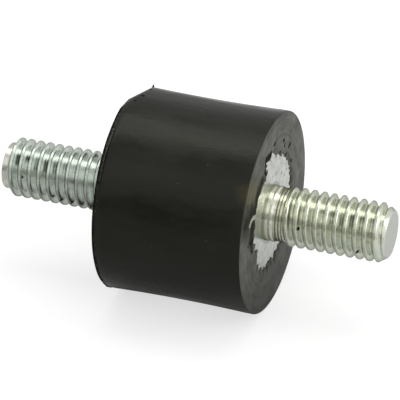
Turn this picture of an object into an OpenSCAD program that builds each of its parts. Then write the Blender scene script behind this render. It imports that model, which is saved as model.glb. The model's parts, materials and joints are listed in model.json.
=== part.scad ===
// Cylindrical rubber mount, bonded to a steel plate and a threaded stud at each end.
// Millimetres. The stud axis lies along X, with the origin at the middle of the rubber.
// The near end is the one towards +X, and the mount lies on the side of its rubber.

/* [Rubber body] */
// Diameter over the rims
rubber_d = 20.2; // [16:0.1:40]
// Length between the end faces
rubber_l = 15.1; // [10:0.1:40]
// How far the side draws in at mid-length
waist_depth = 0.13; // [0.05:0.01:0.5]
// Width of the straight land beside each rim
land_w = 0.7; // [0.6:0.1:1.5]
// Radius of the rounded near rim
rim_r = 0.12; // [0.05:0.01:0.3]
// Rubber around the rim of each end plate
rim_cover = 0.9; // [0.9:0.1:2]
// Thickness of the rubber skin over the outer face of each end plate
skin_t = 0.15; // [0.05:0.05:0.5]

/* [Torn skin] */
// Mean diameter of the patch where the skin is torn off the plate
patch_d = 10.9; // [10:0.1:12]
// How far the patch lies off the stud axis
patch_offset = 0.35; // [0:0.05:0.5]
// Direction in which the patch lies off the axis, from +Z towards +Y
patch_dir = 10; // [-180:5:180]
// Reach of the broad lobes along the torn edge
patch_lobe = 0.2; // [0:0.05:0.3]
// Reach of the tongue that is torn out beyond one lobe
patch_tongue = 1.2; // [0:0.1:1.3]
// Reach of the small teeth along the torn edge
patch_tooth = 0.35; // [0:0.05:0.4]
// Number of teeth along the torn edge
patch_teeth = 31; // [12:1:40]

/* [Moulding flash] */
// Width of the flash lip on the far rim
flash_w = 0.3; // [0.3:0.05:0.4]
// Width of the groove between the flash lip and the side
flash_groove_w = 0.24; // [0.1:0.02:0.3]
// Depth of that groove
flash_groove_depth = 0.1; // [0.04:0.02:0.2]
// Depth of the flat where the flash was trimmed off the far rim
trim_depth = 0.78; // [0.2:0.01:0.8]
// Length of that flat along the side
trim_l = 1.25; // [0.5:0.05:2]
// Direction in which the flat faces, from +Z towards +Y
trim_dir = 17.5; // [-180:0.5:180]
// Depth of the second, shallower flat beside it
shoulder_depth = 0.44; // [0.1:0.01:0.6]
// Direction in which the second flat faces
shoulder_dir = 5; // [-180:0.5:180]
// Height of the nib of flash at the end of the flat
nib_h = 0.4; // [0.1:0.02:0.6]
// Diameter of the nib at its foot
nib_d = 0.5; // [0.2:0.05:0.5]
// Distance of the nib from the far end face
nib_inset = 0.25; // [0.25:0.05:1]

/* [End plates] */
// Thickness of each plate
plate_t = 2; // [1:0.1:2.5]
// Chamfer on the edges of each plate
plate_chamfer = 0.3; // [0.1:0.05:0.45]

/* [Studs] */
// Length of the near stud beyond the rubber
near_stud_l = 12.1; // [8:0.1:40]
// Length of the far stud beyond the rubber
far_stud_l = 12.6; // [8:0.1:40]
// Diameter over the thread crests
thread_d = 5.9; // [5.6:0.05:6]
// Diameter of the plain neck below the thread
neck_d = 5.5; // [4.8:0.05:5.55]
// Length of the plain neck beyond the rubber
neck_l = 1.4; // [0.8:0.1:3]
// Length over which the thread runs out into the neck
runout_l = 0.4; // [0.2:0.1:1]
// Diameter of the near stud's flat tip
near_tip_d = 4.7; // [3.5:0.1:5.2]
// Diameter of the far stud's flat tip
far_tip_d = 4.4; // [3.5:0.1:5.2]
// Length of the chamfer at each tip
tip_l = 0.9; // [0.3:0.05:1.5]
// Diameter of the press seat in the plate
seat_d = 6.2; // [6.1:0.1:8]
// Diameter of the head behind the plate
head_d = 10; // [8.5:0.5:12]
// Thickness of that head
head_t = 1.4; // [0.8:0.1:2]

/* [Hidden] */
$fn = 96;
rim_radius = rubber_d / 2;
half_l = rubber_l / 2;
plate_d = rubber_d - 2 * rim_cover;
plate_outer_x = half_l - skin_t;
plate_inner_x = plate_outer_x - plate_t;
head_x = plate_inner_x - head_t;
// The concave side runs between the two lands in this many steps
waist_half = half_l - land_w;
waist_steps = 16;
// Slope of the trimmed flats, and where the chord of the deeper one meets the rim
trim_slope = atan(trim_depth / trim_l);
trim_half_angle = acos(1 - trim_depth / rim_radius);
nib_dir = trim_dir + trim_half_angle;
nib_tip_d = nib_d / 8;
// Teeth of the torn edge: each has a peak and a notch, and this turn between them varies their reach
tooth_turn = 47;
lobes = 3;
// The higher this power, the narrower the torn tongue
tongue_power = 70;
near_phase = 120;
far_phase = 200;
// Room by which a cutting shape runs past what it cuts
past = rubber_d / 10;

// Turns a shape drawn about its own Z axis so that this axis lies along X
module along_x() {
    rotate([90, 0, 90]) children();
}

// The far end is the near end seen in a mirror across the middle of the rubber
module far_end() {
    mirror([1, 0, 0]) children();
}

// Reach of the torn edge from the stud axis, at point i of its outline
function torn_reach(i, a, phase) =
    let (tooth = (i % 2 == 0 ? 1 : -1) * abs(sin(tooth_turn * i + phase)))
    let (tongue = pow(max(0, cos(a - (90 - phase) / lobes)), tongue_power))
    patch_d / 2 + patch_offset * cos(a - patch_dir) + patch_lobe * sin(lobes * a + phase)
    + patch_tongue * tongue + patch_tooth * tooth;

module torn_patch(phase) {
    points = 2 * patch_teeth;
    outline = [
        for (i = [0 : points - 1])
            let (a = 360 * i / points)
            torn_reach(i, a, phase) * [sin(a), cos(a)]
    ];
    translate([0, 0, plate_outer_x])
        linear_extrude(skin_t + past)
            polygon(outline);
}

// What a round of the rim radius leaves of a square corner, at the rim of one end
module rim_corner() {
    translate([rim_radius - rim_r, half_l - rim_r])
        difference() {
            square(rim_r + past);
            circle(rim_r);
        }
}

module flash_groove() {
    translate([rim_radius, flash_w + flash_groove_w / 2 - half_l])
        polygon([
            [past, -flash_groove_w / 2],
            [0, -flash_groove_w / 2],
            [-flash_groove_depth, 0],
            [0, flash_groove_w / 2],
            [past, flash_groove_w / 2]
        ]);
}

// The shallow hollow of the side: full depth at mid-length, none at the lands
module waist_hollow() {
    hollow = [
        for (i = [0 : waist_steps])
            let (s = 2 * i / waist_steps - 1)
            [rim_radius - waist_depth * (1 - s * s), waist_half * s]
    ];
    polygon(concat(hollow, [[rim_radius + past, waist_half], [rim_radius + past, -waist_half]]));
}

module rubber_profile() {
    difference() {
        translate([0, -half_l]) square([rim_radius, rubber_l]);
        waist_hollow();
        rim_corner();
        flash_groove();
    }
}

module trim_cut(depth, dir) {
    rotate([-dir, 0, 0])
        translate([-half_l, 0, rim_radius - depth])
            rotate([0, -trim_slope, 0])
                translate([-past, -rim_radius, 0])
                    cube([past + rubber_l, rubber_d, past + depth]);
}

module nib() {
    rotate([-nib_dir, 0, 0])
        translate([nib_inset - half_l, 0, rim_radius - trim_depth])
            cylinder(h = trim_depth + nib_h, d1 = nib_d, d2 = nib_tip_d);
}

module plate_outline() {
    r = plate_d / 2;
    polygon([
        [0, plate_inner_x],
        [r - plate_chamfer, plate_inner_x],
        [r, plate_inner_x + plate_chamfer],
        [r, plate_outer_x - plate_chamfer],
        [r - plate_chamfer, plate_outer_x],
        [0, plate_outer_x]
    ]);
}

module head_outline() {
    translate([0, head_x]) square([head_d / 2, head_t]);
}

// The space that one plate and the stud head behind it take up in the rubber
module insert_pocket() {
    along_x() rotate_extrude() {
        plate_outline();
        head_outline();
    }
}

module rubber_body() {
    color([0.13, 0.13, 0.12])
        difference() {
            union() {
                difference() {
                    along_x() rotate_extrude() rubber_profile();
                    trim_cut(trim_depth, trim_dir);
                    trim_cut(shoulder_depth, shoulder_dir);
                }
                nib();
            }
            insert_pocket();
            far_end() insert_pocket();
            along_x() torn_patch(near_phase);
            far_end() along_x() torn_patch(far_phase);
        }
}

module plate() {
    color([0.8, 0.82, 0.8])
        along_x() rotate_extrude()
            difference() {
                plate_outline();
                translate([0, plate_inner_x - past]) square([seat_d / 2, plate_t + 2 * past]);
            }
}

module stud(length, tip_d) {
    thread_x = half_l + neck_l + runout_l;
    end_x = half_l + length;
    color([0.74, 0.76, 0.72])
        along_x() rotate_extrude() {
            head_outline();
            translate([0, plate_inner_x]) square([seat_d / 2, plate_t]);
            polygon([
                [0, plate_outer_x],
                [neck_d / 2, plate_outer_x],
                [neck_d / 2, half_l + neck_l],
                [thread_d / 2, thread_x],
                [thread_d / 2, end_x - tip_l],
                [tip_d / 2, end_x],
                [0, end_x]
            ]);
        }
}

module near_plate() {
    plate();
}

module near_stud() {
    stud(near_stud_l, near_tip_d);
}

module far_plate() {
    far_end() plate();
}

module far_stud() {
    far_end() stud(far_stud_l, far_tip_d);
}

rubber_body();
near_plate();
near_stud();
far_plate();
far_stud();
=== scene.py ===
"""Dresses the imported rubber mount: threads, torn skin, moulding flash, finishes, light and camera."""

import json
import math

import bmesh
import bpy
import numpy as np
from mathutils import Matrix, Vector


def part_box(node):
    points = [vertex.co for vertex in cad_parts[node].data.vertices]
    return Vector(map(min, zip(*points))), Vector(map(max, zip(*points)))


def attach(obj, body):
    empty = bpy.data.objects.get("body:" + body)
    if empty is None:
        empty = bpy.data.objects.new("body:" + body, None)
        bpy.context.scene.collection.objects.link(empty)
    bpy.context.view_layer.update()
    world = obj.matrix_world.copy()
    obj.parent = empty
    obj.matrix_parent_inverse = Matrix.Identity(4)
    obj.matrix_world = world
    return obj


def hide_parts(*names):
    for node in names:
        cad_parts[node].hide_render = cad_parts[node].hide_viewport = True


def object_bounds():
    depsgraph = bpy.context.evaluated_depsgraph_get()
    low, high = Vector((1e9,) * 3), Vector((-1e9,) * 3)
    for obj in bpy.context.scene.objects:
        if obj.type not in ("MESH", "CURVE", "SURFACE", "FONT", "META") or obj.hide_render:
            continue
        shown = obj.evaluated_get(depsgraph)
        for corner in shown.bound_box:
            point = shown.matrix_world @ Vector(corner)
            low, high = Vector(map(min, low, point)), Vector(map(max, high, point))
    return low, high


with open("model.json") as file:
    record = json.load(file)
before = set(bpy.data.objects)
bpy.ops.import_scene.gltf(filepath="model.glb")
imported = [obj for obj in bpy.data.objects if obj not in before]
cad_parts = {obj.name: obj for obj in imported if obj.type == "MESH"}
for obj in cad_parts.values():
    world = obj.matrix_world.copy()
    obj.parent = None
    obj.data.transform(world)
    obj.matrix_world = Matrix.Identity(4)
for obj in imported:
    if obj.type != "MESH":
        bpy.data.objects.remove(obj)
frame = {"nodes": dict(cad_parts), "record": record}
cad_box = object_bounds()

# Lengths are in millimetres, and directions are angles from +Z towards +Y, where nothing else is said
MM = 0.001

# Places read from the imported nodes: along X, and out from the stud axis
rubber_low, rubber_high = (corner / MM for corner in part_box("rubber_body"))
plate_low, plate_high = (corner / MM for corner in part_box("near_plate"))
stud_low, stud_high = (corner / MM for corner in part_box("near_stud"))
far_stud_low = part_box("far_stud")[0] / MM
mounts = {mount["name"]: mount for mount in frame["record"]["mounts"]}
RIM = -rubber_low.y
HALF = rubber_high.x
PLATE_OUT = plate_high.x
PLATE_IN = plate_low.x
PLATE_R = plate_high.y
HEAD_X = stud_low.x
HEAD_R = stud_high.y
NEAR_TIP = stud_high.x
FAR_TIP = -far_stud_low.x
CREST_R = mounts["near_stud"]["dims"]["r_mm"]

# Rubber form, and the number of points round it and of rows along it
WAIST_DEPTH = 0.13
LAND_W = 0.7
RIM_ROUND = 0.12
PLATE_CHAMFER = 0.3
COLUMNS = 640
FADE_ROWS = 9
NEAR_ROWS = 28
FAR_ROWS = 8
RIM_ROWS = 6
SIDE_ROWS = 33
RUBBER_SHARP = math.radians(38)

# Torn skin: broad shape of the patch where it is off the plate, and its teeth
PATCH_D = 10.9
PATCH_OFFSET = 0.35
PATCH_DIR = math.radians(10)
PATCH_LOBE = 0.2
LOBES = 3
PATCH_TONGUE = 1.2
TONGUE_POWER = 70
PATCH_TOOTH = 0.35
PATCH_TEETH = 31
TOOTH_TURN = math.radians(47)
NEAR_PHASE = math.radians(120)
FAR_PHASE = math.radians(200)

# Fraying of the torn edge. All waves are listed as (waves per turn, share)
FRAY = 0.07
FRAY_SEED = 5
FRAY_WAVES = [(61, 0.6), (113, 0.5)]

# Width over which the skin thins towards the tear, and its edge there in shares of its full thickness
SKIN_FADE = 0.7
EDGE_SHARE = 0.35
EDGE_UNEVEN = 0.3
EDGE_LEAST = 0.1
EDGE_WAVES = [(7, 0.5), (23, 0.5)]
DENT = 0.012
DENT_WAVES = [(41, 0.6), (90, 0.4)]
NEAR_SEED = 21
FAR_SEED = 31

# Single tears at each end: direction and half-width in degrees, and reach beyond the patch
NEAR_TEARS = [
    (-150, 12, 0.5), (-127, 4, 0.3), (-114, 6, -0.8), (-76, 4, 0.2), (-52, 3, 0.42), (-44, 5, -0.17),
    (-35, 5, -0.6), (-25, 3, -0.5), (-22, 2.8, -1.05), (-16.5, 1.6, 0.35), (-9.5, 5, -0.85),
    (-7.5, 2, 0.25), (-4, 1.3, -0.2), (-2, 2, 0.1), (4, 3, 0.3), (7, 2, 0.2), (11.5, 3, -0.15),
    (17.5, 3, 0.52), (25, 4, -0.22), (40, 4, 0.45), (52, 4, 0.22), (64, 4.5, 0.6), (73, 5, 0.27),
    (86, 4, 0.25), (157, 6, 0.2), (170, 30, 0.42),
]
FAR_TEARS = [(35, 3, 0.6), (160, 2, 0.9)]

# Black pits in the near skin, by the tear: direction in degrees, radius and size
PITS = [
    (-7, 6.95, 0.5), (-12.5, 7.12, 0.56), (-17, 7.35, 0.5), (-19.6, 6.95, 0.2), (-20, 5.65, 0.3),
    (-21.5, 6.1, 0.36), (-22.5, 6.5, 0.34), (2.5, 7.55, 0.25), (21, 5.9, 0.34), (26, 7.15, 0.3),
    (31, 6.65, 0.24), (32, 6.05, 0.2), (43, 5.95, 0.3), (44, 6.8, 0.2), (46, 7.15, 0.28),
    (63, 6.3, 0.22), (-88, 6.05, 0.4), (-87, 6.8, 0.22), (-87, 7.5, 0.16), (-97, 6.4, 0.2),
    (168, 5.1, 0.28), (-170, 5.1, 0.22), (-161, 5.3, 0.2), (-134, 5.6, 0.16),
]

# Hooked slit in the near skin, where the plate shows through: direction and radius along it, and size
SLIT_LINE = [(-64.5, 5.7), (-65, 6.0), (-65, 6.3), (-65.5, 6.6), (-67, 6.9), (-68.5, 7.15), (-70.5, 7.3)]
SLIT_SIZE = 0.31
SLIT = [(direction, reach, SLIT_SIZE) for direction, reach in SLIT_LINE]

# How deep the pits and the slit are sunk into the skin, and the share of their size that is wall
PIT_DEPTH = 0.11
PIT_WALL = 0.5

# Moulding flash on the far rim: an uneven lip that stands out in two directions
FLASH_W = 0.3
FLASH_OUT = 0.1
FLASH_DIR = math.radians(-45)
FLASH_SPREAD = math.radians(22)
LUMP_OUT = 0.08
LUMP_DIR = math.radians(-143)
LUMP_SPREAD = math.radians(4)
LIP_SEED = 11
LIP_WAVES = [(17, 0.4), (47, 0.4), (101, 0.3)]
LIP_RAGGED = 0.03
LIP_MIDDLE_RAGGED = 0.04
LIP_INSET = 0.02

# Groove beside that lip: deepest by the flash, with a share of the depth elsewhere
GROOVE_W = 0.24
GROOVE_DEPTH = 0.1
GROOVE_SPREAD = math.radians(50)
GROOVE_LEAST = 0.3
GROOVE_UNEVEN = 0.4

# The two flats where the flash was trimmed, as (depth, direction), and the nib left at the deeper one
TRIM_L = 1.25
TRIM_FLATS = [(0.78, math.radians(17.5)), (0.44, math.radians(5))]
NIB_H = 0.4
NIB_R = 0.38
NIB_TIP_R = NIB_R / 8
NIB_INSET = 0.25
NIB_SEGMENTS = 20

# Thread form: half of one thread from its root up to the seam on its crest. Places along it are shares
# of the pitch from the middle of the crest, with heights above the root or depths below the crest
PITCH = 1.0
ROOT_R = 2.42
ROOT_HALF = [(0.5, 0), (0.455, 0.012), (0.41, 0.05), (0.32, 0.19)]
CREST_HALF = [(0.225, 0.195), (0.13, 0.05), (0.095, 0.015), (0.06, 0), (0.025, 0.008)]
SEAM_DEPTH = 0.022
TURN_COLUMNS = 144
SPARE_TURNS = 1
STUD_SHARP = math.radians(50)

# How far round each thread starts, in turns
NEAR_START = -0.05
FAR_START = -0.36

# Neck: rolled beads, each with a long and a short flank, then a rippled groove up to the thread
NECK_R = 2.68
NECK_L = 1.75
BEADS = 2
BEAD_W = 0.5
BEAD_H = 0.1
BEAD_FALL = 0.68
NECK_GROOVE_R = 2.62
RIPPLES = 3
RIPPLE_H = 0.004
RUNOUT_L = 0.35
SEAT_R = 3.1
NECK_STEP = BEAD_W / 16

# Tips: a straight land, a chamfer and a rounded edge
NEAR_TIP_R = 2.35
FAR_TIP_R = 2.3
TIP_L = 0.9
NEAR_TIP_LAND = 0.0
FAR_TIP_LAND = 0.6
TIP_ROUND = 0.08

# Distances in metres within which a point lies on a cut, and within which two points are one
ON_CUT = 1e-8
ONE_POINT = 1e-7


def ease(share):
    """A smooth step: from 0 to 1 as the share does, and level at both ends."""
    return share * share * (3 - 2 * share)


def wobble(angle, seed, octaves):
    """Smooth uneven wave round the axis, about -1 to 1: octaves lists (waves per turn, share)."""
    rng = np.random.default_rng(seed)
    total = np.zeros_like(angle)
    for waves, share in octaves:
        for step in (-1, 0, 1):
            total += share / 2 * np.sin((waves + step) * angle + rng.uniform(0, 2 * math.pi))
    return total


def near_direction(angle, direction, half_width):
    """A smooth hump round the axis: 1 in the given direction, and little beyond twice the half-width."""
    off = (angle - direction + math.pi) % (2 * math.pi) - math.pi
    return np.exp(-((off / half_width) ** 2))


def ring(x, radius, angle):
    """Points at a place along X and a distance from the axis, for each angle from +Z towards +Y."""
    x = np.broadcast_to(x, angle.shape)
    radius = np.broadcast_to(radius, angle.shape)
    return np.stack([x, radius * np.sin(angle), radius * np.cos(angle)], axis=1)


def on_skin(marks):
    """Places and sizes of marks on the near face, each given by direction in degrees, radius and size."""
    placed = []
    for direction, reach, size in marks:
        turn = math.radians(direction)
        placed.append(((HALF, reach * math.sin(turn), reach * math.cos(turn)), size))
    return placed


def add_object(name, mesh, sharp):
    """A smooth-shaded object, with its edges sharp beyond the given angle."""
    for polygon in mesh.polygons:
        polygon.use_smooth = True
    mesh.set_sharp_from_angle(angle=sharp)
    piece = bpy.data.objects.new(name, mesh)
    bpy.context.scene.collection.objects.link(piece)
    return piece


def edges_of(parts):
    return [part for part in parts if isinstance(part, bmesh.types.BMEdge)]


def slice_off(work, point, normal):
    """Cuts away what lies beyond a plane, and gives the edges along the cut."""
    every = work.verts[:] + work.edges[:] + work.faces[:]
    cut = bmesh.ops.bisect_plane(
        work, geom=every, dist=ON_CUT, plane_co=point, plane_no=normal, clear_outer=True
    )
    return edges_of(cut["geom_cut"])


def torn_reach(angle, phase, tears):
    """Distance of the torn skin's edge from the axis: straight tears between the teeth, frayed a little."""
    points = 2 * PATCH_TEETH
    index = np.arange(points)
    turn = 2 * math.pi * index / points
    tooth = np.where(index % 2 == 0, 1, -1) * np.abs(np.sin(TOOTH_TURN * index + phase))
    tongue = np.maximum(0, np.cos(turn - (math.pi / 2 - phase) / LOBES)) ** TONGUE_POWER
    reach = PATCH_D / 2 + PATCH_OFFSET * np.cos(turn - PATCH_DIR)
    reach += PATCH_LOBE * np.sin(LOBES * turn + phase)
    reach += PATCH_TONGUE * tongue + PATCH_TOOTH * tooth
    torn = np.interp(angle, np.append(turn, 2 * math.pi), np.append(reach, reach[0]))
    for direction, half_width, extra in tears:
        torn += extra * near_direction(angle, math.radians(direction), math.radians(half_width))
    return torn + FRAY * wobble(angle, FRAY_SEED, FRAY_WAVES)


def sink_pits(row, pits):
    """Sinks a row of points on the skin into its pits."""
    for (x, y, z), size in on_skin(pits):
        away = np.hypot(row[:, 1] - y, row[:, 2] - z)
        share = np.clip((size - away) / (PIT_WALL * size), 0, 1)
        row[:, 0] = np.minimum(row[:, 0], x - PIT_DEPTH * ease(share))
    return row


def end_rows(angle, phase, tears, pits, outer_rows, seed):
    """Rows of one end, drawn at the near end: from the middle of the pocket over the skin to the rim."""
    torn = torn_reach(angle, phase, tears)
    skin = HALF - PLATE_OUT
    edge = skin * (EDGE_SHARE + EDGE_UNEVEN * wobble(angle, seed, EDGE_WAVES))
    edge = np.clip(edge, EDGE_LEAST * skin, skin)
    rows = [
        ring(HEAD_X, HEAD_R, angle),
        ring(PLATE_IN, HEAD_R, angle),
        ring(PLATE_IN, PLATE_R - PLATE_CHAMFER, angle),
        ring(PLATE_IN + PLATE_CHAMFER, PLATE_R, angle),
        ring(PLATE_OUT - PLATE_CHAMFER, PLATE_R, angle),
        ring(PLATE_OUT, PLATE_R - PLATE_CHAMFER, angle),
        ring(PLATE_OUT, torn, angle),
    ]
    for share in np.linspace(0, 1, FADE_ROWS):
        dents = DENT * (1 - share) * wobble(angle, seed + 1, DENT_WAVES)
        x = PLATE_OUT + edge + (skin - edge) * ease(share) + dents
        rows.append(sink_pits(ring(x, torn + SKIN_FADE * share, angle), pits))
    outer = RIM - RIM_ROUND
    for share in np.linspace(0, 1, outer_rows + 1)[1:]:
        radius = (torn + SKIN_FADE) * (1 - share) + outer * share
        rows.append(sink_pits(ring(HALF, radius, angle), pits))
    return rows


def side_radius(x):
    """Radius of the waisted side between its two straight lands."""
    reach = HALF - LAND_W
    return RIM - WAIST_DEPTH * max(0.0, 1 - (x / reach) ** 2)


def side_rows(angle):
    """Rows of the side, from the rounded near rim to the sharp lip of flash on the far rim."""
    rows = []
    for turn in np.linspace(0, math.pi / 2, RIM_ROWS + 1)[1:]:
        x = HALF - RIM_ROUND * (1 - math.cos(turn))
        rows.append(ring(x, RIM - RIM_ROUND * (1 - math.sin(turn)), angle))
    groove_x = FLASH_W + GROOVE_W - HALF
    for x in np.linspace(HALF - RIM_ROUND, groove_x, SIDE_ROWS + 1)[1:]:
        rows.append(ring(x, side_radius(x), angle))
    ragged = np.clip(0.5 + 0.5 * wobble(angle, LIP_SEED, LIP_WAVES), 0, 1)
    lip = RIM + FLASH_OUT * near_direction(angle, FLASH_DIR, FLASH_SPREAD)
    lip += LUMP_OUT * near_direction(angle, LUMP_DIR, LUMP_SPREAD)
    deep = GROOVE_LEAST + (1 - GROOVE_LEAST) * near_direction(angle, FLASH_DIR, GROOVE_SPREAD)
    deep *= GROOVE_DEPTH * (1 - GROOVE_UNEVEN * (1 - ragged))
    rows.append(ring(groove_x - GROOVE_W / 2, RIM - deep, angle))
    rows.append(ring(FLASH_W - HALF, lip - LIP_RAGGED * ragged, angle))
    rows.append(ring(FLASH_W / 2 - HALF, lip - LIP_MIDDLE_RAGGED * (1 - ragged), angle))
    rows.append(ring(LIP_INSET - HALF, lip - LIP_RAGGED * ragged, angle))
    return rows


def lathe_mesh(name, rows):
    """Closed mesh through rings of points, with each end ring filled by one face."""
    columns = len(rows[0])
    points = np.concatenate(rows) * MM
    here = np.arange(columns)
    there = (here + 1) % columns
    faces = []
    for row in range(len(rows) - 1):
        low = row * columns
        high = low + columns
        faces += np.stack([low + here, low + there, high + there, high + here], axis=1).tolist()
    last = (len(rows) - 1) * columns
    faces.append(here[::-1].tolist())
    faces.append((last + here).tolist())
    mesh = bpy.data.meshes.new(name)
    mesh.from_pydata(points.tolist(), [], faces)
    return mesh


def trim_rim(work, depth, direction):
    """Slices one flat off the far rim, where the flash was trimmed, and closes the cut."""
    facing = Vector((0, math.sin(direction), math.cos(direction)))
    slope = math.atan2(TRIM_FLATS[0][0], TRIM_L)
    normal = math.cos(slope) * facing - math.sin(slope) * Vector((1, 0, 0))
    point = (facing * (RIM - depth) - Vector((HALF, 0, 0))) * MM
    bmesh.ops.holes_fill(work, edges=slice_off(work, point, normal))


def add_nib(work):
    """Adds the small spike of flash that was left standing at the end of the deeper flat."""
    depth, direction = TRIM_FLATS[0]
    turn = direction + math.acos(1 - depth / RIM)
    height = depth + NIB_H
    middle = Matrix.Translation(Vector((NIB_INSET - HALF, 0, RIM - depth + height / 2)) * MM)
    bmesh.ops.create_cone(
        work,
        segments=NIB_SEGMENTS,
        radius1=NIB_R * MM,
        radius2=NIB_TIP_R * MM,
        depth=height * MM,
        cap_ends=True,
        matrix=Matrix.Rotation(-turn, 4, "X") @ middle,
    )


def make_rubber():
    """The moulding round its inserts, with the far end drawn as a mirrored near end."""
    angle = np.linspace(0, 2 * math.pi, COLUMNS, endpoint=False)
    flip = np.array([-1, 1, 1])
    near = end_rows(angle, NEAR_PHASE, NEAR_TEARS, PITS + SLIT, NEAR_ROWS, NEAR_SEED)
    far = [row * flip for row in end_rows(angle, FAR_PHASE, FAR_TEARS, [], FAR_ROWS, FAR_SEED)]
    mesh = lathe_mesh("rubber", near + side_rows(angle) + far[::-1])
    work = bmesh.new()
    work.from_mesh(mesh)
    for depth, direction in TRIM_FLATS:
        trim_rim(work, depth, direction)
    bmesh.ops.recalc_face_normals(work, faces=work.faces)
    add_nib(work)
    work.to_mesh(mesh)
    work.free()
    return add_object("rubber_moulding", mesh, RUBBER_SHARP)


def thread_outline():
    """One pitch of the rolled thread from root to root, with a seam on the crest: (share, radius)."""
    half = [(share, ROOT_R + height) for share, height in ROOT_HALF]
    half += [(share, CREST_R - depth) for share, depth in CREST_HALF]
    left = [(-share, radius) for share, radius in half]
    return left + [(0.0, CREST_R - SEAM_DEPTH)] + half[:0:-1]


def tip_limit(x, tip, tip_r, land):
    """Radius that the straight land, the chamfer and the rounded edge of a stud's tip leave at x."""
    left = np.maximum(tip - x, 0)
    cone = tip_r + np.maximum(left - land, 0) / (TIP_L - land) * (CREST_R - tip_r)
    inside = np.maximum(TIP_ROUND - left, 0)
    return cone - TIP_ROUND + np.sqrt(TIP_ROUND ** 2 - inside ** 2)


def thread_rows(outline, start, tip, tip_r, land, phase):
    """Rows of points along the swept thread, one for each point of its outline in each turn."""
    turns = math.ceil((tip - start) / PITCH) + 2 * SPARE_TURNS
    angle = np.linspace(0, 2 * math.pi, TURN_COLUMNS, endpoint=False)
    rise = PITCH * angle / (2 * math.pi)
    rows = []
    for turn in range(turns):
        for share, radius in outline:
            x = start + (turn - SPARE_TURNS + share + phase) * PITCH + rise
            into = ease(np.clip((x - start) / RUNOUT_L, 0, 1))
            threaded = NECK_GROOVE_R + (radius - NECK_GROOVE_R) * into
            out = np.minimum(threaded, tip_limit(x, tip, tip_r, land))
            rows.append(np.stack([x, out * np.cos(angle), out * np.sin(angle)], axis=1))
    return rows


def thread_faces(row_count, samples):
    """Faces between neighbouring rows. Each row goes on, after a turn, in the row one pitch further."""
    faces = []
    for row in range(row_count - 1):
        for column in range(TURN_COLUMNS):
            low = row * TURN_COLUMNS + column
            if column + 1 < TURN_COLUMNS:
                faces.append((low, low + TURN_COLUMNS, low + TURN_COLUMNS + 1, low + 1))
            elif row + 1 + samples < row_count:
                seam = (row + samples) * TURN_COLUMNS
                faces.append((low, low + TURN_COLUMNS, seam + TURN_COLUMNS, seam))
    return faces


def neck_radius(x):
    """Radius of the neck: rolled beads beside the plate, then a rippled groove up to the thread."""
    turns = max(0.0, (x - HALF) / BEAD_W)
    groove = BEADS - 1 + BEAD_FALL
    if turns < groove:
        share = turns % 1
        fallen = share / BEAD_FALL if share < BEAD_FALL else (1 - share) / (1 - BEAD_FALL)
        return NECK_R + BEAD_H * (0.5 + 0.5 * math.cos(math.pi * fallen))
    share = (turns - groove) / (NECK_L / BEAD_W - groove)
    ripple = RIPPLE_H * (1 - math.cos(2 * math.pi * RIPPLES * share))
    return NECK_R + (NECK_GROOVE_R - NECK_R) * share - ripple


def neck_and_head(work, start):
    """Draws the open thread back over the neck and through the plate to the head, and closes both ends."""
    bmesh.ops.remove_doubles(work, verts=work.verts, dist=ONE_POINT)
    rims = {True: [], False: []}
    for edge in work.edges:
        if edge.is_boundary:
            rims[edge.verts[0].co.x < (start + PITCH) * MM].append(edge)
    bmesh.ops.holes_fill(work, edges=rims[False])
    outline = [(x, neck_radius(x)) for x in np.arange(start, PLATE_OUT, -NECK_STEP)[1:]]
    outline += [
        (PLATE_OUT, NECK_R + BEAD_H),
        (PLATE_OUT, SEAT_R),
        (PLATE_IN, SEAT_R),
        (PLATE_IN, HEAD_R),
        (HEAD_X, HEAD_R),
    ]
    loop = rims[True]
    for x, radius in outline:
        grown = bmesh.ops.extrude_edge_only(work, edges=loop)["geom"]
        for part in grown:
            if isinstance(part, bmesh.types.BMVert):
                turn = math.atan2(part.co.z, part.co.y)
                part.co = Vector((x, radius * math.cos(turn), radius * math.sin(turn))) * MM
        loop = edges_of(grown)
    bmesh.ops.holes_fill(work, edges=loop)


def make_stud(name, tip, tip_r, land, phase):
    """A headed stud with a rolled right-hand thread, drawn along +X."""
    start = HALF + NECK_L
    outline = thread_outline()
    rows = thread_rows(outline, start, tip, tip_r, land, phase)
    mesh = bpy.data.meshes.new(name)
    mesh.from_pydata((np.concatenate(rows) * MM).tolist(), [], thread_faces(len(rows), len(outline)))
    work = bmesh.new()
    work.from_mesh(mesh)
    slice_off(work, (start * MM, 0, 0), (-1, 0, 0))
    slice_off(work, (tip * MM, 0, 0), (1, 0, 0))
    neck_and_head(work, start)
    bmesh.ops.recalc_face_normals(work, faces=work.faces)
    work.to_mesh(mesh)
    work.free()
    stud = add_object(name, mesh, STUD_SHARP)
    # The two end faces are one polygon each, and stay flat
    for polygon in mesh.polygons:
        if len(polygon.vertices) >= TURN_COLUMNS:
            polygon.use_smooth = False
    return stud


def grey(level):
    return (level, level, level, 1.0)


def olive(level):
    """A grey with a little less blue."""
    return (level, level, 0.85 * level, 1.0)


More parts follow.
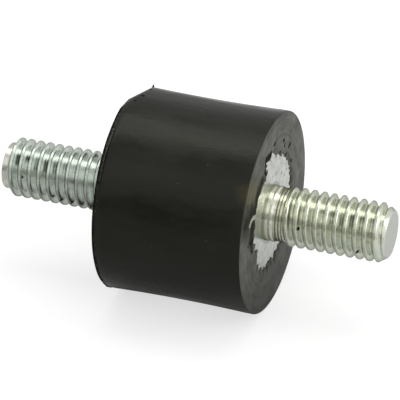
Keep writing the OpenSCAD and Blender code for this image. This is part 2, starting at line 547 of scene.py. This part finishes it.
class Shader:
    """The node tree of a material or world, with short ways to add a node and to set or link its inputs."""

    def __init__(self, owner, surface="Principled BSDF"):
        owner.use_nodes = True
        self.owner = owner
        self.tree = owner.node_tree
        self.surface = self.tree.nodes[surface]
        self.colour = None

    def node(self, kind, inputs=None, **settings):
        made = self.tree.nodes.new("ShaderNode" + kind)
        for key, value in settings.items():
            setattr(made, key, value)
        for key, value in (inputs or {}).items():
            self.set(made.inputs[key], value)
        return made

    def set(self, socket, value):
        if isinstance(value, bpy.types.NodeSocket):
            self.tree.links.new(value, socket)
        else:
            socket.default_value = value

    def math(self, operation, first, second=0.0):
        return self.node("Math", {0: first, 1: second}, operation=operation).outputs[0]

    def times(self, first, *others):
        for other in others:
            first = self.math("MULTIPLY", first, other)
        return first

    def rest(self, value):
        """What a value leaves of 1."""
        return self.math("SUBTRACT", 1.0, value)

    def larger(self, first, second):
        return self.math("MAXIMUM", first, second)

    def vector(self, operation, *inputs):
        """A vector that is worked out from others."""
        return self.node("VectorMath", dict(enumerate(inputs)), operation=operation).outputs["Vector"]

    def measure(self, operation, *inputs):
        """A number that is worked out from vectors."""
        return self.node("VectorMath", dict(enumerate(inputs)), operation=operation).outputs["Value"]

    def place(self):
        """The piece's own coordinates in millimetres."""
        place = self.node("TexCoord").outputs["Object"]
        return self.node("VectorMath", {0: place, "Scale": 1 / MM}, operation="SCALE").outputs[0]

    def axis(self, vector, index):
        return self.node("SeparateXYZ", {0: vector}).outputs[index]

    def radius(self, place):
        """Distance from the stud axis."""
        return self.measure("LENGTH", self.stretch(place, (0, 1, 1)))

    def outward(self, place):
        """Direction straight out from the stud axis."""
        return self.vector("NORMALIZE", self.stretch(place, (0, 1, 1)))

    def stretch(self, vector, factors):
        return self.vector("MULTIPLY", vector, factors)

    def shake(self, vector, scale, reach):
        """Moves places about by a noise, by up to about half the reach, so that outlines turn uneven."""
        noise = self.node("TexNoise", {"Vector": vector, "Scale": scale, "Detail": 3.0}).outputs["Color"]
        centred = self.vector("SUBTRACT", noise, (0.5, 0.5, 0.5))
        return self.vector("MULTIPLY_ADD", centred, (reach, reach, reach), vector)

    def noise(self, vector, scale, detail, roughness):
        inputs = {"Vector": vector, "Scale": scale, "Detail": detail, "Roughness": roughness}
        return self.node("TexNoise", inputs).outputs["Fac"]

    def ramp(self, value, low, high, to_low=0.0, to_high=1.0):
        inputs = {"Value": value, "From Min": low, "From Max": high, "To Min": to_low, "To Max": to_high}
        return self.node("MapRange", inputs, interpolation_type="SMOOTHSTEP").outputs[0]

    def curve(self, value, stops):
        """A level that runs straight between stops of (value, level), for values from 0 to 1."""
        made = self.node("ValToRGB", {"Fac": value})
        elements = made.color_ramp.elements
        while len(elements) < len(stops):
            elements.new(0.5)
        for element, (place, level) in zip(elements, stops):
            element.position = place
            element.color = grey(level)
        return made.outputs["Color"]

    def blend(self, factor, first, second):
        """From one number to another, as the factor goes from 0 to 1."""
        return self.node("Mix", {0: factor, 2: first, 3: second}, data_type="FLOAT").outputs[0]

    def mix(self, factor, first, second):
        """From one colour to another, as the factor goes from 0 to 1."""
        return self.node("Mix", {0: factor, 6: first, 7: second}, data_type="RGBA").outputs[2]

    def paint(self, mask, colour):
        """Lays a colour over those painted before it, as far as the mask says."""
        self.colour = self.mix(mask, self.colour, colour)

    def spots(self, place, marks, core=0.75):
        """1 inside any of the balls given by place and size, fading outwards from the core's share."""
        total = 0.0
        for centre, size in marks:
            away = self.measure("DISTANCE", place, centre)
            total = self.larger(self.ramp(away, size, core * size), total)
        return total

    def specks(self, place, scale, size, share):
        """1 inside a share of small dots strewn over the surface: size is a share of their spacing."""
        cells = self.node("TexVoronoi", {"Vector": place, "Scale": scale})
        dot = self.ramp(cells.outputs["Distance"], size, 0.6 * size)
        pick = self.axis(cells.outputs["Color"], 0)
        return self.times(dot, self.ramp(pick, share, share - 0.02))

    def bump(self, height, strength, distance, before=None):
        inputs = {"Height": height, "Strength": strength, "Distance": distance * MM}
        if before is not None:
            inputs["Normal"] = before
        return self.node("Bump", inputs).outputs[0]

    def finish(self, **inputs):
        for key, value in inputs.items():
            self.set(self.surface.inputs[key.replace("_", " ")], value)
        return self.owner


# Rubber colours
SIDE_DARK = olive(0.0065)
SIDE_PALE = olive(0.0115)
FACE_DARK = olive(0.042)
FACE_PALE = olive(0.096)
FACE_PAINTED_SHADE = olive(0.024)
SMEAR_BROWN = (0.095, 0.078, 0.035, 1)
DARK_PATCH_BLACK = (0.007, 0.009, 0.004, 1)
RUBBER_BLACK = grey(0.004)
SLIT_PALE = olive(0.4)
DUST = olive(0.3)
RIM_BLACK = olive(0.002)
LIP_PALE = olive(0.1)

# Dark patch along the tear, which swells round the slit: direction, radius and size at places along it
DARK_PATCH_R = 6.4
DARK_PATCH_SIZE = 1.1
SWELL = 0.6
SWELL_DIR = -68
SWELL_SPREAD = 14
DARK_PATCHES = [
    (direction, DARK_PATCH_R, DARK_PATCH_SIZE + SWELL * math.exp(-((direction - SWELL_DIR) / SWELL_SPREAD) ** 2))
    for direction in range(-92, -30, 3)
]
DARK_PATCHES += [(-62, 7.2, 1.7), (-68, 8.6, 2.4)]

# Brown smear above it: direction, radius and size
SMEAR = (-49.5, 8.6, 2.3)

# Dark nicks beside the trimmed flats: place and size
NICKS = [((-6.24, 0.88, 10.05), 0.24), ((-6.55, -0.36, 10.08), 0.15), ((-6.32, 2.95, 9.66), 0.3)]


def paint_marks(look, place):
    """Paints the smear, the dark patch along the tear, the pits and the slit, and gives where the rubber is
    matte there.
    """
    uneven = look.shake(place, scale=0.7, reach=1.6)
    look.paint(look.times(look.spots(uneven, on_skin([SMEAR]), core=0.0), 0.8), SMEAR_BROWN)
    dark_patches = look.times(look.spots(uneven, on_skin(DARK_PATCHES), core=0.1), 0.9)
    look.paint(dark_patches, DARK_PATCH_BLACK)
    pits = look.spots(look.shake(place, scale=3.0, reach=0.35), on_skin(PITS) + NICKS)
    look.paint(pits, RUBBER_BLACK)
    look.paint(look.spots(place, on_skin(SLIT)), SLIT_PALE)
    return look.larger(dark_patches, pits)


def paint_far_rim(look, place, side):
    """Paints the ragged dark far rim with pale specks on its lip, and gives where it is dark."""
    x = look.axis(place, 0)
    uneven = look.ramp(look.noise(place, scale=1.8, detail=4.0, roughness=0.6), 0.3, 0.7, -0.15, 0.15)
    dark = look.times(look.ramp(look.math("ADD", x, uneven), 0.3 - HALF, 0.15 - HALF), side)
    look.paint(look.times(dark, 0.85), RIM_BLACK)
    specks = look.specks(place, scale=2.6, size=0.3, share=0.5)
    lip = look.times(look.ramp(x, 0.45 - HALF, 0.35 - HALF), specks, side)
    look.paint(look.times(lip, 0.5), LIP_PALE)
    return dark


def ground_rings(look, place):
    """The marks of grinding on the end faces: a noise drawn out round the axis."""
    outward = look.node("CombineXYZ", {0: look.times(look.radius(place), 3.2)}).outputs[0]
    drawn_out = look.vector("MULTIPLY_ADD", look.outward(place), (1.4, 1.4, 1.4), outward)
    return look.noise(drawn_out, scale=1.0, detail=5.0, roughness=0.7)


def rubber_material():
    """Black rubber: smooth and smeared on the side, ground and cloudy on the end faces."""
    look = Shader(bpy.data.materials.new("moulded_rubber"))
    place = look.place()
    inside = look.ramp(look.radius(place), RIM - 0.03, RIM - 0.1)
    out_x = look.math("ABSOLUTE", look.axis(place, 0))
    face = look.times(look.ramp(out_x, PLATE_OUT - 0.02, PLATE_OUT), inside)

    smears = look.noise(look.stretch(place, (0.35, 1.0, 1.0)), scale=0.55, detail=5.0, roughness=0.6)
    side_colour = look.mix(look.ramp(smears, 0.35, 0.72), SIDE_DARK, SIDE_PALE)
    ground = ground_rings(look, place)
    clouds = look.noise(place, scale=0.7, detail=4.0, roughness=0.6)
    face_tone = look.math("ADD", look.times(ground, 0.55), look.times(clouds, 0.45))
    face_colour = look.mix(look.ramp(face_tone, 0.36, 0.64), FACE_DARK, FACE_PALE)
    # Painted shade: the end faces are darker towards the bottom
    low = look.ramp(look.axis(place, 2), 1, -8)
    face_colour = look.mix(look.times(low, 0.85), face_colour, FACE_PAINTED_SHADE)

    look.colour = look.mix(face, side_colour, face_colour)
    marks = paint_marks(look, place)
    look.paint(look.times(look.specks(place, scale=0.8, size=0.055, share=0.4), 0.3), DUST)
    dark_rim = paint_far_rim(look, place, look.rest(face))

    side_rough = look.ramp(smears, 0.35, 0.65, 0.25, 0.4)
    face_rough = look.ramp(face_tone, 0.36, 0.64, 0.54, 0.4)
    rough = look.blend(look.larger(marks, dark_rim), look.blend(face, side_rough, face_rough), 1.0)
    waves = look.noise(look.stretch(place, (0.5, 1.0, 1.0)), scale=0.45, detail=4.0, roughness=0.6)
    normal = look.bump(waves, strength=0.5, distance=0.12)
    grain = look.noise(place, scale=9.0, detail=2.0, roughness=0.5)
    normal = look.bump(grain, strength=0.1, distance=0.02, before=normal)
    normal = look.bump(look.times(ground, face), strength=0.25, distance=0.02, before=normal)
    return look.finish(
        Base_Color=look.colour,
        Roughness=rough,
        Normal=normal,
        Specular_IOR_Level=0.33,
        Specular_Tint=olive(1.0),
    )


# Zinc colours of the studs
ZINC_COOL = (0.80, 0.87, 0.80, 1)
ZINC_WARM = (0.84, 0.87, 0.72, 1)
ZINC_DULL = (0.62, 0.64, 0.55, 1)
ZINC_EDGE = (0.45, 0.47, 0.44, 1)
ROOT_PAINTED_REFLECTION = (0.92, 1.0, 0.93, 1)
CREST_BROWN = (0.42, 0.4, 0.35, 1)
BEAD_PAINTED_HIGHLIGHT = (0.94, 0.95, 0.78, 1)
NECK_GROOVE_WARM = (0.84, 0.86, 0.62, 1)
NECK_PAINTED_LIGHT_BELOW = (0.99, 1.0, 0.86, 1)
NECK_FOOT = (0.74, 0.77, 0.58, 1)
FAR_TIP_WARM = (0.95, 0.9, 0.76, 1)
SEAT_GREY = (0.7, 0.72, 0.69, 1)
CUT_GREY = (0.77, 0.78, 0.74, 1)
DARK_REFLECTION = (0.1, 0.12, 0.1, 1)
CRUMB_BLACK = grey(0.012)

# Painted dark reflections in the thread: the side of the studs where they lie, and the place along X that
# they lie away from
DARK_REFLECTION_FACING = (0, -0.7, 0.72)
DARK_REFLECTION_MIDDLE = -0.6

# Dark crumbs of rubber left on the studs
CRUMBS = [
    (11.06, -2.67, 0.38), (16.98, -2.56, -1.02), (-17.25, -2.77, 0.41), (-14.48, -2.46, -1.22),
    (-13.76, -2.40, -1.35), (-12.64, -2.28, -1.53), (-11.39, -2.24, -1.59),
]
CRUMB_SIZE = 0.24

# Beyond this place along X, either way, there is nothing but a stud
STUDS_X = 8


def far_to_near(look, place, far, near):
    """One level on the far stud, and another on the near one."""
    return look.ramp(look.axis(place, 0), -STUDS_X, STUDS_X, far, near)


def paint_neck(look, place):
    """Paints the necks, the near one most: a painted highlight on the beads, warm in the groove and by the
    plate, and paler below as painted light.
    """
    x = look.axis(place, 0)
    out_x = look.math("ABSOLUTE", x)
    groove_x = HALF + (BEADS - 1 + BEAD_FALL) * BEAD_W
    # Painted highlight: the beads are paler than the groove
    colour = look.mix(look.ramp(out_x, groove_x, groove_x + 0.2), BEAD_PAINTED_HIGHLIGHT, NECK_GROOVE_WARM)
    # Painted light: the lower side of the neck is paler
    colour = look.mix(look.ramp(look.axis(place, 2), 0.6, -1.6), colour, NECK_PAINTED_LIGHT_BELOW)
    colour = look.mix(look.ramp(out_x, HALF + 0.45, HALF + 0.15), colour, NECK_FOOT)
    neck = look.ramp(out_x, HALF + NECK_L + 0.3, HALF + NECK_L)
    look.paint(look.times(neck, look.ramp(x, -1, 1, 0.3, 1.0)), colour)


def thread_dark_reflections(look, place):
    """Where dark reflections are painted: in the roots of the thread, on the side that faces front and up,
    towards the tips and in patches.
    """
    facing = look.ramp(look.measure("DOT_PRODUCT", look.outward(place), DARK_REFLECTION_FACING), 0.93, 0.99)
    deep = look.ramp(look.radius(place), ROOT_R + 0.26, ROOT_R + 0.05)
    along = look.math("ABSOLUTE", look.math("SUBTRACT", look.axis(place, 0), DARK_REFLECTION_MIDDLE))
    near_tips = look.times(look.ramp(along, 11, 15.5), look.ramp(along, 18.9, 18.5))
    patches = look.ramp(look.noise(place, scale=0.6, detail=2.0, roughness=0.5), 0.36, 0.56)
    return look.times(facing, deep, near_tips, far_to_near(look, place, 0.95, 0.7), patches)


def stud_material():
    """Zinc-plated steel, cooler on the far stud, with matte cut ends and a few crumbs of rubber."""
    look = Shader(bpy.data.materials.new("zinc_stud"))
    place = look.place()
    x = look.axis(place, 0)
    out_x = look.math("ABSOLUTE", x)
    radius = look.radius(place)
    lower = look.ramp(look.axis(place, 2), 0.5, -0.5)

    clouds = look.noise(place, scale=0.28, detail=3.0, roughness=0.5)
    warm = look.math("ADD", look.ramp(x, -8, 14, -0.25, 0.25), clouds)
    look.colour = look.mix(look.ramp(warm, 0.3, 0.7), ZINC_COOL, ZINC_WARM)
    # Painted reflection: the roots on the lower half are paler, most on the far stud
    roots = look.ramp(radius, CREST_R - 0.1, ROOT_R + 0.18)
    look.paint(look.times(roots, lower, far_to_near(look, place, 1.0, 0.5)), ROOT_PAINTED_REFLECTION)
    paint_neck(look, place)
    look.paint(look.ramp(look.noise(place, scale=1.6, detail=4.0, roughness=0.6), 0.5, 0.75), ZINC_DULL)
    # Painted reflection: dark blotches in the roots of the thread
    look.paint(thread_dark_reflections(look, place), DARK_REFLECTION)
    crests = look.ramp(radius, CREST_R - 0.11, CREST_R - 0.03)
    look.paint(look.times(crests, lower, far_to_near(look, place, 0.8, 0.3)), CREST_BROWN)
    look.paint(look.ramp(x, 0.75 - FAR_TIP, 0.45 - FAR_TIP, 0.0, 0.6), FAR_TIP_WARM)
    look.paint(look.ramp(out_x, PLATE_OUT + 0.03, PLATE_OUT + 0.01), SEAT_GREY)
    near_end = look.ramp(x, NEAR_TIP - 0.03, NEAR_TIP - 0.01)
    cut_ends = look.larger(near_end, look.ramp(x, 0.03 - FAR_TIP, 0.01 - FAR_TIP))
    look.paint(cut_ends, CUT_GREY)
    crumbs = look.spots(place, [(crumb, CRUMB_SIZE) for crumb in CRUMBS])
    look.paint(crumbs, CRUMB_BLACK)

    polish = look.noise(place, scale=2.2, detail=4.0, roughness=0.6)
    rough = look.blend(cut_ends, look.ramp(polish, 0.3, 0.7, 0.16, 0.27), 0.5)
    scratches = look.noise(look.stretch(place, (3.0, 0.6, 0.6)), scale=3.0, detail=3.0, roughness=0.6)
    return look.finish(
        Base_Color=look.colour,
        Metallic=look.rest(crumbs),
        Roughness=rough,
        Normal=look.bump(scratches, strength=0.1, distance=0.03),
        Specular_Tint=ZINC_EDGE,
    )


# Zinc colours of the plates
PLATE_DARK = (0.49, 0.51, 0.48, 1)
PLATE_PALE = (0.63, 0.65, 0.61, 1)
DOT_DARK = grey(0.1)
RESIDUE_DARK = grey(0.15)

# Dark dots on the near plate, and rubber left on it: places along Y and Z, and size
PLATE_DOTS = [
    (2.96, 2.84, 0.4), (1.23, 3.73, 0.42), (0.23, 3.92, 0.26), (3.87, 2.13, 0.28), (4.56, 2.48, 0.2),
]
PLATE_RUBBER = [(-1.6, 5.3, 0.36), (-1.62, 6.12, 0.22), (1.2, 5.68, 0.18)]


def on_plate(marks):
    """Places and sizes of marks on the near plate."""
    return [((PLATE_OUT, y, z), size) for y, z, size in marks]


def plate_material():
    """Mottled zinc plate with dark dots, rubber left on it, and residue towards the tear."""
    look = Shader(bpy.data.materials.new("zinc_plate"))
    place = look.place()
    mottle = look.noise(place, scale=1.3, detail=5.0, roughness=0.65)
    look.colour = look.mix(look.ramp(mottle, 0.35, 0.65), PLATE_DARK, PLATE_PALE)
    uneven = look.shake(place, scale=3.0, reach=0.3)
    dots = look.spots(uneven, on_plate(PLATE_DOTS), core=0.1)
    look.paint(look.times(dots, 0.5), DOT_DARK)
    left = look.spots(uneven, on_plate(PLATE_RUBBER))
    look.paint(left, RUBBER_BLACK)
    residue = look.ramp(look.noise(place, scale=2.4, detail=3.0, roughness=0.55), 0.6, 0.66)
    look.paint(look.times(residue, look.ramp(look.radius(place), 4.3, 5.6)), RESIDUE_DARK)
    rough = look.blend(look.times(dots, 0.6), look.ramp(mottle, 0.3, 0.7, 0.26, 0.16), 0.6)
    grain = look.noise(place, scale=3.5, detail=4.0, roughness=0.6)
    return look.finish(
        Base_Color=look.colour,
        Metallic=look.rest(left),
        Roughness=look.blend(left, rough, 1.0),
        Normal=look.bump(grain, strength=0.1, distance=0.03),
    )


# Floor: its height and reach in metres, and its own strength straight to the camera, on top of its light
FLOOR_Z = cad_box[0].z
FLOOR_REACH = 3.0
FLOOR_WHITE = 0.65


def floor_material():
    """White straight to the camera. In the metal it is pale behind and right of the mount only."""
    look = Shader(bpy.data.materials.new("pale_floor"))
    place = look.place()
    behind = look.ramp(look.axis(place, 1), -20, 20, 0.0, 0.36)
    right = look.ramp(look.axis(place, 0), 5, 45, 0.0, 0.22)
    pale = look.times(look.larger(behind, right), look.ramp(look.measure("LENGTH", place), 300, 110))
    path = look.node("LightPath").outputs
    straight = look.times(path["Is Camera Ray"], FLOOR_WHITE)
    return look.finish(
        Base_Color=grey(0.5),
        Roughness=1.0,
        Specular_IOR_Level=0.0,
        Emission_Color=grey(1.0),
        Emission_Strength=look.larger(straight, look.times(path["Is Glossy Ray"], pale)),
    )


def make_floor():
    mesh = bpy.data.meshes.new("floor")
    corners = [(-1, -1), (1, -1), (1, 1), (-1, 1)]
    points = [(x * FLOOR_REACH, y * FLOOR_REACH, FLOOR_Z) for x, y in corners]
    mesh.from_pydata(points, [], [(0, 1, 2, 3)])
    floor = bpy.data.objects.new("floor", mesh)
    bpy.context.scene.collection.objects.link(floor)
    floor.data.materials.append(floor_material())


# The studio's level by degrees up from the table's front edge, over the top and down to its back edge
STUDIO = [
    (0, 0.14), (12, 0.3), (17, 0.2), (22, 0.26), (27, 0.6), (36, 0.78), (60, 0.76), (72, 0.54),
    (84, 0.5), (94, 0.52), (126, 0.5), (150, 0.56), (180, 0.64),
]
STUDIO_SIDES = 0.62
STUDIO_RIGHT = 1.3


def make_world():
    """A pale studio: dim at the front edge of the table, pale behind, and white straight to the camera."""
    world = bpy.data.worlds.new("studio")
    bpy.context.scene.world = world
    look = Shader(world, "Background")
    x, y, z = look.node("SeparateXYZ", {0: look.node("TexCoord").outputs["Generated"]}).outputs
    up = look.math("ARCTAN2", z, look.times(y, -1.0))
    stops = [(degrees / 180, level) for degrees, level in STUDIO]
    level = look.curve(look.math("DIVIDE", up, math.pi), stops)
    level = look.blend(look.ramp(look.math("ABSOLUTE", x), 0.55, 0.85), level, STUDIO_SIDES)
    level = look.times(level, look.ramp(x, -0.2, 0.4, 1.0, STUDIO_RIGHT))
    straight = look.node("LightPath").outputs["Is Camera Ray"]
    look.finish(Color=grey(1.0), Strength=look.blend(straight, level, 1.0))


def add_softbox(name, place, aim, size, power):
    """A rectangular area light: place, aim and size in metres, and power in watts."""
    light = bpy.data.lights.new(name, "AREA")
    light.shape = "RECTANGLE"
    light.size, light.size_y = size
    light.energy = power
    lamp = bpy.data.objects.new(name, light)
    bpy.context.scene.collection.objects.link(lamp)
    lamp.location = place
    lamp.rotation_euler = (Vector(aim) - Vector(place)).to_track_quat("-Z", "Y").to_euler()


def make_lights():
    add_softbox(
        "overhead_softbox", place=(-0.1, 0.13, 0.53), aim=(-0.1, 0, 0), size=(0.7, 0.27), power=0.78
    )
    add_softbox("right_softbox", place=(0.6, 0.1, 0.3), aim=(0, 0, 0), size=(0.4, 0.4), power=1.0)


# Camera: its direction from the mount, its distance and nearest sight in metres, its aim, lens and sensor
CAMERA_AZIMUTH = math.radians(19.66)
CAMERA_ELEVATION = math.radians(30.65)
CAMERA_DISTANCE = 0.35106
CAMERA_AIM = Vector((-0.01, 0, -0.06))
CAMERA_LENS = 321.65
CAMERA_SENSOR = 36
CAMERA_CLIP = 0.01


def make_camera():
    """The photograph's view: from above, with the near end turned 20 degrees towards the camera."""
    back = Vector((
        math.sin(CAMERA_AZIMUTH) * math.cos(CAMERA_ELEVATION),
        -math.cos(CAMERA_AZIMUTH) * math.cos(CAMERA_ELEVATION),
        math.sin(CAMERA_ELEVATION),
    ))
    data = bpy.data.cameras.new("camera")
    data.lens = CAMERA_LENS
    data.sensor_width = CAMERA_SENSOR
    data.clip_start = CAMERA_CLIP
    camera = bpy.data.objects.new("camera", data)
    bpy.context.scene.collection.objects.link(camera)
    camera.location = CAMERA_AIM * MM + back * CAMERA_DISTANCE
    camera.rotation_euler = (-back).to_track_quat("-Z", "Y").to_euler()
    bpy.context.scene.camera = camera


def dress(piece, material, node):
    """Gives a piece its finish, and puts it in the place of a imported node."""
    piece.data.materials.clear()
    piece.data.materials.append(material)
    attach(piece, "root")
    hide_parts(node)


bpy.context.scene.view_settings.view_transform = "Standard"

rubber = make_rubber()
dress(rubber, rubber_material(), "rubber_body")

zinc = stud_material()
near_stud = make_stud("near_threaded_stud", NEAR_TIP, NEAR_TIP_R, NEAR_TIP_LAND, NEAR_START)
dress(near_stud, zinc, "near_stud")
far_stud = make_stud("far_threaded_stud", FAR_TIP, FAR_TIP_R, FAR_TIP_LAND, FAR_START)
far_stud.data.transform(Matrix.Rotation(math.pi, 4, "Z"))
dress(far_stud, zinc, "far_stud")

dull_zinc = plate_material()
for name in ("near_plate", "far_plate"):
    plate = frame["nodes"][name]
    plate.data.materials.clear()
    plate.data.materials.append(dull_zinc)

make_floor()
make_world()
make_lights()
make_camera()
